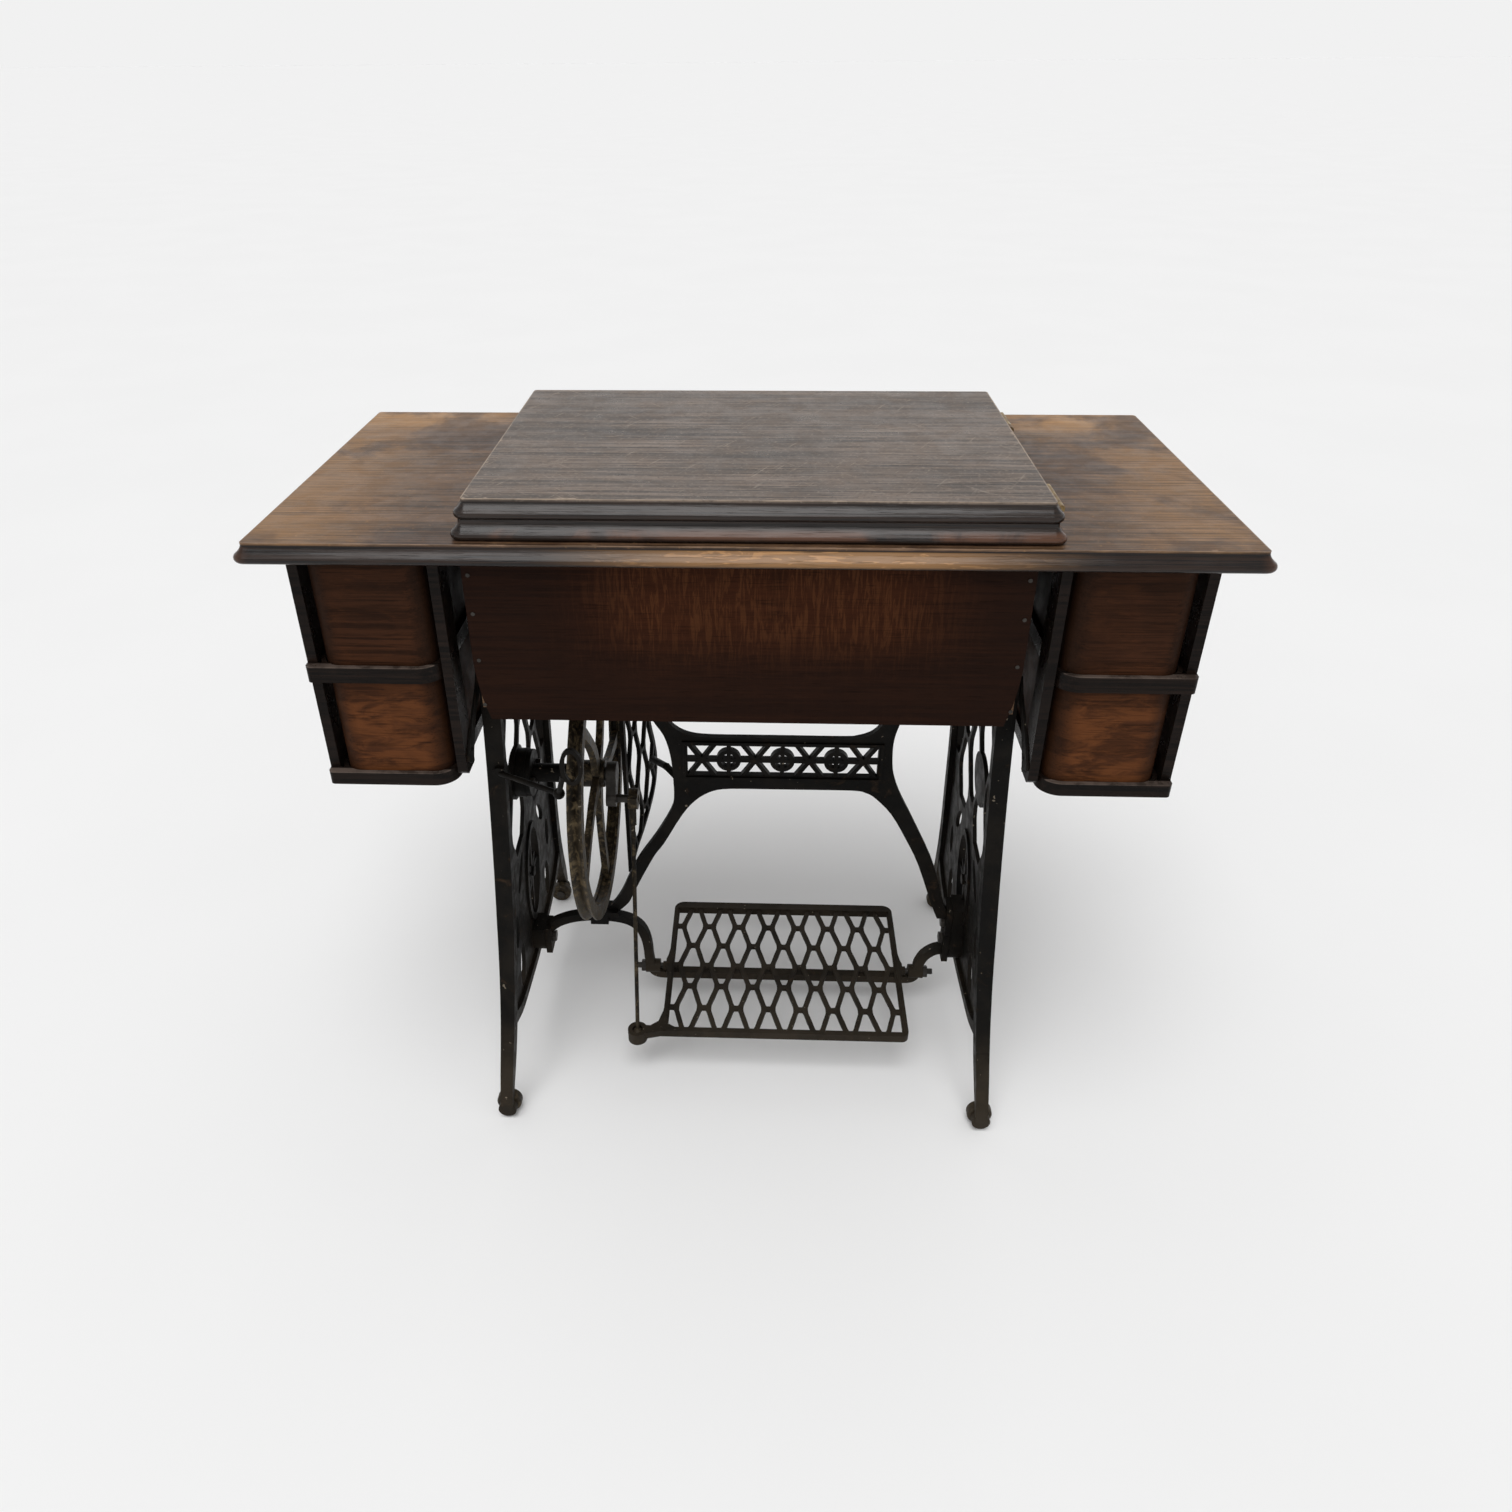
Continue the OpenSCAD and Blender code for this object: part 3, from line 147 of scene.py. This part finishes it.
TOP_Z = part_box("table_top")[1].z
TOP_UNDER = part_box("table_top")[0].z
TOP_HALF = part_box("table_top")[1].x
BED_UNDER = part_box("bed_frame")[0].z
APRON_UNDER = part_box("rear_apron")[0].z
RAIL_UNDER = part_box("left_middle_rail")[0].z
RAIL_TOPS = [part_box(node)[1].z for node in ("left_middle_rail", "left_bottom_rail")]
RAIL_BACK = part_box("left_middle_rail")[1].y
BAY_X = -sum(corner.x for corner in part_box("left_upper_drawer_front")) / 2  # middle of a drawer stack


def stretched(grain, along, across):
    """Scale for a texture drawn out along the grain axis."""
    return tuple(along if flag else across for flag in ALONG[grain])


def oak(name, dark, mid, light, specular, fleck=0.1, rough=0.5, blotch=0.5, grain="X", tint=None):
    """Stained oak: growth lines, pores, ray fleck, uneven stain, and a tint of its own."""
    s = Shader(name)
    s.cloud = s.noise(s.place, 7.0, 5, 0.62, 0.5)
    s.spatter = s.noise(s.place, 34.0, 4, 0.6, 0.3)
    lines = s.noise(s.scaled(stretched(grain, 2.2, 90)), 1.0, 6, 0.66, 0.8)
    s.fine = s.noise(s.scaled(stretched(grain, 9, 520)), 1.0, 3, 0.6)
    s.speck = s.noise(s.place, 240.0, 2, 0.6)
    pores = s.spread(s.noise(s.scaled(stretched(grain, 24, 1000)), 1.0, 2, 0.5), 0.58, 0.70)
    s.grain = s.noise(s.scaled(stretched(grain, 5, 330)), 1.0, 4, 0.7, 0.4)
    both = s.math("ADD", s.math("MULTIPLY", lines, 0.45), s.math("MULTIPLY", s.grain, 0.55))
    base = s.mix(s.spread(both, 0.43, 0.57), dark, mid)
    base = s.mix(s.spread(s.cloud, 0.44, 0.66, 0.0, blotch), base, dark)
    base = s.mix(s.spread(s.spatter, 0.50, 0.72, 0.0, 0.35), base, mid)
    rays = s.noise(s.scaled(stretched(grain, 30, 170), (0.0, 0.0, 0.18)), 1.0, 3, 0.55, 1.4)
    rays = s.math("MULTIPLY", s.spread(rays, 0.54, 0.64), s.spread(s.fine, 0.35, 0.6, 0.4, 1.0))
    s.rays = s.math("MULTIPLY", rays, fleck)
    base = s.mix(s.rays, base, light)
    if tint:
        base = tint(s, base, light)
    base = s.mix(s.math("MULTIPLY", pores, 0.5), base, tuple(c * 0.35 for c in dark))
    roughness = s.spread(s.spatter, 0.3, 0.7, rough - 0.07, rough + 0.10)
    if s.polish:
        smoother = s.math("SUBTRACT", 1.0, s.math("MULTIPLY", s.polish, 0.5))
        roughness = s.math("MULTIPLY", roughness, smoother)
    height = s.math("ADD", s.math("MULTIPLY", lines, 0.6), s.math("MULTIPLY", pores, -0.5))
    normal = s.bump(height, 0.30, 0.0006)
    normal = s.bump(s.fine, 0.12, 0.0003, normal)
    return s.finish(base, roughness, normal, specular)


STAIN = (0.030, 0.015, 0.010)
GOLDEN_OAK = (0.38, 0.200, 0.080)
RUBBED_TIP = (0.10, 0.045, 0.024)
RUBBED_NOSE = (0.11, 0.045, 0.022)
# painted shade for the dark line in the small groove under the flat top
GROOVE_SHADE = (0.008, 0.005, 0.004)
# light wood of real chips on the board edges, also used for the painted highlight line along them
TOP_CHIP_AND_HIGHLIGHT = (0.26, 0.17, 0.11)
LID_CHIP_AND_HIGHLIGHT = (0.36, 0.28, 0.21)
DUST = (0.135, 0.102, 0.080)
SCRATCH = (0.38, 0.32, 0.26)
PALE_SPECK = (0.24, 0.19, 0.15)
DARK_SPECK = (0.035, 0.026, 0.020)
RED_BROWN = (0.055, 0.017, 0.007)
APRON_SHADE = (0.014, 0.007, 0.005)
DRAWER_SHADE = (0.016, 0.008, 0.005)
# painted highlight colour for the rails' upper edges
RAIL_HIGHLIGHT = (0.10, 0.075, 0.062)
SCRATCHES = (  # turn in radians, scale across, scale along, threshold
    (0.5, 420, 14, 0.65),
    (-0.75, 460, 17, 0.66),
    (1.25, 400, 12, 0.66),
)


def from_edge(s, node):
    """How far a point is outside the flat top of a moulded board, seen from above."""
    low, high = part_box(node)
    parts = []
    for axis in (0, 1):
        middle = (low[axis] + high[axis]) / 2
        half = (high[axis] - low[axis]) / 2 - EDGE_RUN
        away = s.math("ABSOLUTE", s.math("SUBTRACT", s.axis("XY"[axis]), middle))
        parts.append(s.math("SUBTRACT", away, half))
    return s.math("MAXIMUM", *parts)


def arris(s, base, node, worn):
    """Painted highlight: a light line along the upper edge of a board, with real chips here and there
    in the same colour.
    """
    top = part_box(node)[1].z
    out = from_edge(s, node)
    # painted highlight: a thin light line along the edge of the flat top
    line = s.math("MULTIPLY", s.spread(out, -0.0016, -0.0007), s.spread(out, 0.0003, 0.0009, 1.0, 0.0))
    line = s.math("MULTIPLY", line, s.spread(s.spatter, 0.36, 0.60, 0.25, 0.85))
    chips = s.math("MULTIPLY", s.spread(out, -0.0050, -0.0015), s.spread(s.spatter, 0.64, 0.68))
    flat = s.spread(s.axis("Z"), top - STEP_HIGH, top - STEP_HIGH / 3)
    return s.mix(s.math("MULTIPLY", s.math("MAXIMUM", line, chips), flat), base, worn)


def below_step(s, node):
    """1 on the moulding under the small step of a board, 0 on its flat top."""
    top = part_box(node)[1].z
    return s.spread(s.axis("Z"), top - STEP_LOW, top - STEP_HIGH, 1.0, 0.0)


def top_tint(s, base, light):
    """Table top: grey brown in the middle, worn to orange brown at both ends and the back corners."""
    from_middle = s.math("ABSOLUTE", s.axis("X"))
    ends = s.spread(from_middle, 0.30, 0.46, 0.10, 1.0)
    back = s.spread(s.axis("Y"), -0.19, -0.09, 1.0, 0.0)
    corners = s.math("MULTIPLY", s.spread(from_middle, 0.24, 0.36), back)
    worn = s.math("MAXIMUM", s.math("MULTIPLY", ends, 0.55), corners)
    worn = s.math("MULTIPLY", worn, s.spread(s.cloud, 0.32, 0.52, 0.35, 1.0))
    worn = s.math("MULTIPLY", worn, s.spread(s.grain, 0.35, 0.60, 0.55, 1.0))
    base = s.mix(worn, base, light)
    base = s.mix(s.spread(s.speck, 0.60, 0.72, 0.0, 0.35), base, light)
    stain = s.spread(s.cloud, 0.40, 0.52, 0.6, 0.0)
    stain = s.math("MULTIPLY", stain, s.spread(s.fine, 0.3, 0.7, 0.6, 1.0))
    base = s.mix(stain, base, STAIN)
    s.polish = below_step(s, "table_top")
    base = s.mix(s.polish, base, top_moulding(s, from_middle))
    return arris(s, base, "table_top", TOP_CHIP_AND_HIGHLIGHT)


def top_moulding(s, from_middle):
    """The edge of the table top: nearly black, with figured golden oak showing in the middle."""
    roll = s.mix(s.spread(s.grain, 0.38, 0.62), (0.006, 0.005, 0.005), (0.024, 0.014, 0.010))
    middle = s.spread(s.math("ABSOLUTE", s.math("ADD", s.axis("X"), 0.06)), 0.06, 0.27, 1.0, 0.0)
    gold = s.math("MULTIPLY", middle, s.spread(s.axis("Z"), TOP_UNDER + 0.0010, TOP_UNDER + 0.0050))
    gold = s.math("MULTIPLY", gold, s.spread(s.rays, 0.02, 0.10, 0.62, 1.0))
    roll = s.mix(gold, roll, GOLDEN_OAK)
    tips = s.spread(from_middle, TOP_HALF - 0.020, TOP_HALF - 0.002, 0.0, 0.45)
    roll = s.mix(tips, roll, RUBBED_TIP)
    # painted shade: a dark line in the groove under the small step
    groove_low = s.spread(s.axis("Z"), TOP_Z - 0.0042, TOP_Z - STEP_LOW)
    groove_high = s.spread(s.axis("Z"), TOP_Z - 0.0014, TOP_Z - 0.0008, 1.0, 0.0)
    return s.mix(s.math("MULTIPLY", groove_low, groove_high), roll, GROOVE_SHADE)


def scratches(s):
    """Three families of long fine scratches, each at its own angle and broken up by the spatter."""
    lines = None
    for angle, pitch, run, threshold in SCRATCHES:
        ridges = s.noise(s.turned(angle, (pitch, run, 1)), 1.0, 2, 0.6, 0.3)
        family = s.spread(ridges, threshold, threshold + 0.03)
        lines = s.math("MAXIMUM", lines, family) if lines else family
    return s.math("MULTIPLY", lines, s.spread(s.spatter, 0.44, 0.60, 0.0, 0.45))


def lid_tint(s, base, light):
    """Lid: dusty grey brown with fine scratches; its mouldings are nearly black."""
    dust = s.spread(s.noise(s.place, 6.0, 7, 0.70, 0.5), 0.40, 0.66, 0.05, 0.45)
    base = s.mix(dust, base, DUST)
    base = s.mix(scratches(s), base, SCRATCH)
    base = s.mix(s.spread(s.speck, 0.58, 0.70, 0.0, 0.60), base, PALE_SPECK)
    base = s.mix(s.spread(s.speck, 0.30, 0.42, 0.60, 0.0), base, DARK_SPECK)
    outside = s.spread(from_edge(s, "lid"), -0.0020, -0.0003)
    s.polish = s.math("MULTIPLY", below_step(s, "lid"), outside)
    base = s.mix(s.polish, base, lid_moulding(s))
    return arris(s, base, "lid", LID_CHIP_AND_HIGHLIGHT)


def lid_moulding(s):
    """The edges of the lid and of the frame under it, rubbed brown along the frame's lower nose."""
    roll = s.mix(s.spread(s.grain, 0.38, 0.62), (0.008, 0.005, 0.004), (0.024, 0.015, 0.011))
    above = s.spread(s.axis("Z"), BED_UNDER + 0.002, BED_UNDER + 0.006)
    below = s.spread(s.axis("Z"), BED_UNDER + 0.009, BED_UNDER + 0.013, 1.0, 0.0)
    nose = s.math("MULTIPLY", above, below)
    return s.mix(s.math("MULTIPLY", nose, s.spread(s.cloud, 0.44, 0.58, 0.0, 0.7)), roll, RUBBED_NOSE)


def apron_tint(s, base, light):
    """Aprons: red brown in the upper middle, darker at the ends and along the bottom."""
    figure = s.noise(s.scaled((260, 1, 26), (0, 0.25, 0)), 1.0, 3, 0.6, 1.2)
    middle = s.spread(s.math("ABSOLUTE", s.math("ADD", s.axis("X"), 0.02)), 0.10, 0.24, 1.0, 0.0)
    upper = s.spread(s.axis("Z"), APRON_UNDER + 0.037, APRON_UNDER + 0.117, 0.10, 1.0)
    warm = s.math("MULTIPLY", middle, upper)
    patch = s.math("MULTIPLY", warm, s.spread(s.cloud, 0.36, 0.58))
    base = s.mix(s.math("MULTIPLY", patch, 0.45), base, RED_BROWN)
    base = s.mix(s.math("MULTIPLY", patch, s.spread(figure, 0.46, 0.62, 0.0, 0.42)), base, light)
    shade = s.math("MULTIPLY", s.math("SUBTRACT", 1.0, warm), 0.75)
    return s.mix(shade, base, APRON_SHADE)


def drawer_tint(s, base, light):
    """Drawers: the lower ones are rubbed to orange brown, the upper ones darker."""
    lower = s.spread(s.axis("Z"), RAIL_UNDER - 0.0285, RAIL_UNDER + 0.0115, 1.0, 0.12)
    figure = s.noise(s.scaled((22, 22, 70)), 1.0, 4, 0.62, 0.8)
    rubbed = s.math("MULTIPLY", lower, s.spread(figure, 0.38, 0.62, 0.20, 0.85))
    base = s.mix(rubbed, base, light)
    away = s.math("ABSOLUTE", s.math("SUBTRACT", s.math("ABSOLUTE", s.axis("X")), BAY_X))
    corner = s.spread(away, 0.026, 0.052, 0.0, 0.80)
    upper = s.spread(s.axis("Z"), RAIL_UNDER + 0.0215, RAIL_UNDER + 0.1065, 0.15, 0.60)
    shade = s.math("MULTIPLY", upper, s.spread(s.cloud, 0.35, 0.6, 1.0, 0.4))
    return s.mix(s.math("MAXIMUM", corner, shade), base, DRAWER_SHADE)


def rail_tint(s, base, light):
    """A thin painted highlight along the upper edge of each bent rail, at the back."""
    lines = None
    for top in RAIL_TOPS:
        below = s.spread(s.axis("Z"), top - 0.0014, top - 0.0006)
        above = s.spread(s.axis("Z"), top + 0.0002, top + 0.0008, 1.0, 0.0)
        line = s.math("MULTIPLY", below, above)
        lines = s.math("MAXIMUM", lines, line) if lines else line
    lines = s.math("MULTIPLY", lines, s.spread(s.axis("Y"), RAIL_BACK - 0.0085, RAIL_BACK - 0.0070))
    broken = s.spread(s.spatter, 0.35, 0.6, 0.3, 1.0)
    return s.mix(s.math("MULTIPLY", lines, broken), base, RAIL_HIGHLIGHT)


# ---------- metal ----------

FLOOR_DUST = (0.040, 0.031, 0.021)
PAINT_CHIP = (0.24, 0.20, 0.15)


def iron(name, black, brown, rust, specular, rough=0.5, rusty=0.3, metallic=0.0, patches=42.0):
    """Old black-painted cast iron with brown bloom, rust, dust near the floor and small paint chips."""
    s = Shader(name)
    cloud = s.noise(s.place, 14.0, 6, 0.65, 0.3)
    grit = s.noise(s.place, 320.0, 3, 0.6)
    patch = s.noise(s.place, patches, 5, 0.7, 0.5)
    base = s.mix(s.spread(cloud, 0.38, 0.68), black, brown)
    base = s.mix(s.spread(patch, 0.66 - rusty * 0.3, 0.80 - rusty * 0.2, 0.0, 0.9), base, rust)
    dusty = s.spread(s.axis("Z"), 0.05, 0.16, 0.75, 0.0)
    dusty = s.math("MULTIPLY", dusty, s.spread(cloud, 0.30, 0.60, 0.4, 1.0))
    base = s.mix(dusty, base, FLOOR_DUST)
    chips = s.spread(s.noise(s.place, 150.0, 2, 0.5), 0.72, 0.75, 0.0, 0.6)
    base = s.mix(chips, base, PAINT_CHIP)
    roughness = s.spread(patch, 0.3, 0.75, rough - 0.1, rough + 0.2)
    normal = s.bump(grit, 0.25, 0.0006)
    normal = s.bump(patch, 0.22, 0.0014, normal)
    return s.finish(base, roughness, normal, specular, metallic)


def plain_metal(name, clean, dull, rough=0.4):
    """Tarnished brass or steel."""
    s = Shader(name)
    cloud = s.noise(s.place, 60.0, 5, 0.65, 0.3)
    grit = s.noise(s.place, 500.0, 2, 0.6)
    base = s.mix(s.spread(cloud, 0.35, 0.62), clean, dull)
    roughness = s.spread(cloud, 0.3, 0.7, rough - 0.1, rough + 0.2)
    return s.finish(base, roughness, s.bump(grit, 0.15, 0.0003), metallic=0.4)


MATERIALS = {
    "oak_top": oak(
        "oak_top", (0.020, 0.011, 0.007), (0.155, 0.088, 0.052), (0.38, 0.200, 0.072),
        specular=0.28, fleck=0.16, rough=0.36, blotch=0.45, tint=top_tint),
    "oak_dark": oak(
        "oak_dark", (0.026, 0.018, 0.013), (0.195, 0.145, 0.112), (0.23, 0.172, 0.130),
        specular=0.34, fleck=0.16, rough=0.34, blotch=0.4, tint=lid_tint),
    "oak_apron": oak(
        "oak_apron", (0.010, 0.0045, 0.003), (0.030, 0.011, 0.0055), (0.095, 0.036, 0.014),
        specular=0.02, rough=0.50, tint=apron_tint),
    "oak_drawer": oak(
        "oak_drawer", (0.016, 0.007, 0.004), (0.046, 0.018, 0.009), (0.132, 0.046, 0.016),
        specular=0.03, rough=0.48, tint=drawer_tint),
    "oak_inside": oak(
        "oak_inside", (0.10, 0.055, 0.03), (0.17, 0.10, 0.055), (0.26, 0.16, 0.09),
        specular=0.15, rough=0.6, grain="Y"),
    "ebonised_wood": oak(
        "ebonised_wood", (0.004, 0.003, 0.0025), (0.013, 0.008, 0.006), (0.040, 0.021, 0.014),
        specular=0.08, fleck=0.08, rough=0.30, blotch=0.4, tint=rail_tint),
    "black_iron": iron(
        "black_iron", (0.0035, 0.0032, 0.0028), (0.010, 0.008, 0.006), (0.036, 0.022, 0.013),
        specular=0.07),
    "rusty_iron": iron(
        "rusty_iron", (0.006, 0.0045, 0.003), (0.030, 0.023, 0.014), (0.105, 0.078, 0.044),
        specular=0.12, rough=0.45, rusty=0.7, metallic=0.1, patches=120.0),
    "worn_steel": plain_metal("worn_steel", (0.03, 0.025, 0.02), (0.015, 0.012, 0.009)),
    "old_brass": plain_metal("old_brass", (0.35, 0.24, 0.09), (0.16, 0.10, 0.05), rough=0.35),
}

slots = {piece["node"]: piece["material_slot"] for piece in frame["record"]["subparts"]}
for node, obj in frame["nodes"].items():
    obj.data.materials.clear()
    obj.data.materials.append(MATERIALS[slots[node]])

# ---------- floor, light, camera ----------

FLOOR_SIZE = 400.0

KEY_PLACE = Vector((0.4, 1.9, 2.3))
KEY_TARGET = Vector((0.0, 0.1, 0.75))
KEY_SIZE = (2.6, 0.4)
KEY_POWER = 6.0

SUN_FROM = Vector((0.08, 0.36, 1.00))
SUN_STRENGTH = 1.42
SUN_ANGLE = math.radians(38)

SKY_LOW = 0.88  # strength near the horizon
SKY_HIGH = 0.58  # strength overhead
SKY_FROM = 0.10  # sine of the elevation where it starts to dim
SKY_TO = 0.45


def pale_floor():
    """Matt pale grey, very slightly clouded."""
    s = Shader("pale_floor")
    cloud = s.noise(s.place, 2.0, 3, 0.5)
    colour = s.mix(s.spread(cloud, 0.3, 0.7), (0.850, 0.850, 0.850), (0.860, 0.860, 0.860))
    return s.finish(colour, 0.9, s.bump(cloud, 0.05, 0.001), specular=0.0)


def add_light(data, comes_from):
    """Put a light in the scene, with its light coming from that direction."""
    lamp = bpy.data.objects.new(data.name, data)
    lamp.rotation_euler = comes_from.to_track_quat("Z", "Y").to_euler()
    bpy.context.scene.collection.objects.link(lamp)
    return lamp


def key_light():
    """A weak strip light behind the table, for the highlights on its mouldings."""
    data = bpy.data.lights.new("key", "AREA")
    data.shape = "RECTANGLE"
    data.size, data.size_y = KEY_SIZE
    data.energy = KEY_POWER
    add_light(data, KEY_PLACE - KEY_TARGET).location = KEY_PLACE


def soft_sun():
    """A broad sun, high and a little behind the table."""
    data = bpy.data.lights.new("soft_sun", "SUN")
    data.energy = SUN_STRENGTH
    data.angle = SUN_ANGLE
    add_light(data, SUN_FROM)


def studio_world():
    """A pale surround that dims a little overhead."""
    world = bpy.data.worlds.new("studio")
    world.use_nodes = True
    nodes = world.node_tree.nodes
    links = world.node_tree.links
    height = nodes.new("ShaderNodeSeparateXYZ")
    dimmer = nodes.new("ShaderNodeMapRange")
    links.new(nodes.new("ShaderNodeTexCoord").outputs["Generated"], height.inputs["Vector"])
    links.new(height.outputs["Z"], dimmer.inputs["Value"])
    dimmer.inputs["From Min"].default_value = SKY_FROM
    dimmer.inputs["From Max"].default_value = SKY_TO
    dimmer.inputs["To Min"].default_value = SKY_LOW
    dimmer.inputs["To Max"].default_value = SKY_HIGH
    nodes["Background"].inputs["Color"].default_value = (1.0, 1.0, 1.0, 1.0)
    links.new(dimmer.outputs["Result"], nodes["Background"].inputs["Strength"])
    return world


bpy.ops.mesh.primitive_plane_add(size=FLOOR_SIZE, location=(0, 0, 0))
floor = bpy.context.object
floor.name = "floor"
floor.data.materials.append(pale_floor())

bpy.context.scene.world = studio_world()
bpy.context.scene.view_settings.view_transform = "Standard"
key_light()
soft_sun()

EYE = Vector((-0.0135, 1.1497, 1.1552))  # where the camera stands, behind the table
PITCH = math.radians(31.372)  # how far it looks down
YAW = math.radians(2.446)  # how far it looks towards +X
ROLL = math.radians(-0.437)
SENSOR = 36.0
LENS = 26.25
SHIFT = (0.0247, -0.0198)
SIGHT = 200.0  # the floor is drawn this far

camera = bpy.data.objects.new("camera", bpy.data.cameras.new("camera"))
bpy.context.scene.collection.objects.link(camera)
camera.data.sensor_width = SENSOR
camera.data.lens = LENS
camera.data.shift_x, camera.data.shift_y = SHIFT
camera.data.clip_end = SIGHT
forward = Vector((math.sin(YAW) * math.cos(PITCH), -math.cos(YAW) * math.cos(PITCH), -math.sin(PITCH)))
level = Vector((-math.cos(YAW), -math.sin(YAW), 0))
upright = level.cross(forward)
right = level * math.cos(ROLL) + upright * math.sin(ROLL)
up = upright * math.cos(ROLL) - level * math.sin(ROLL)
camera.matrix_world = Matrix.Translation(EYE) @ Matrix((right, up, -forward)).transposed().to_4x4()
bpy.context.scene.camera = camera
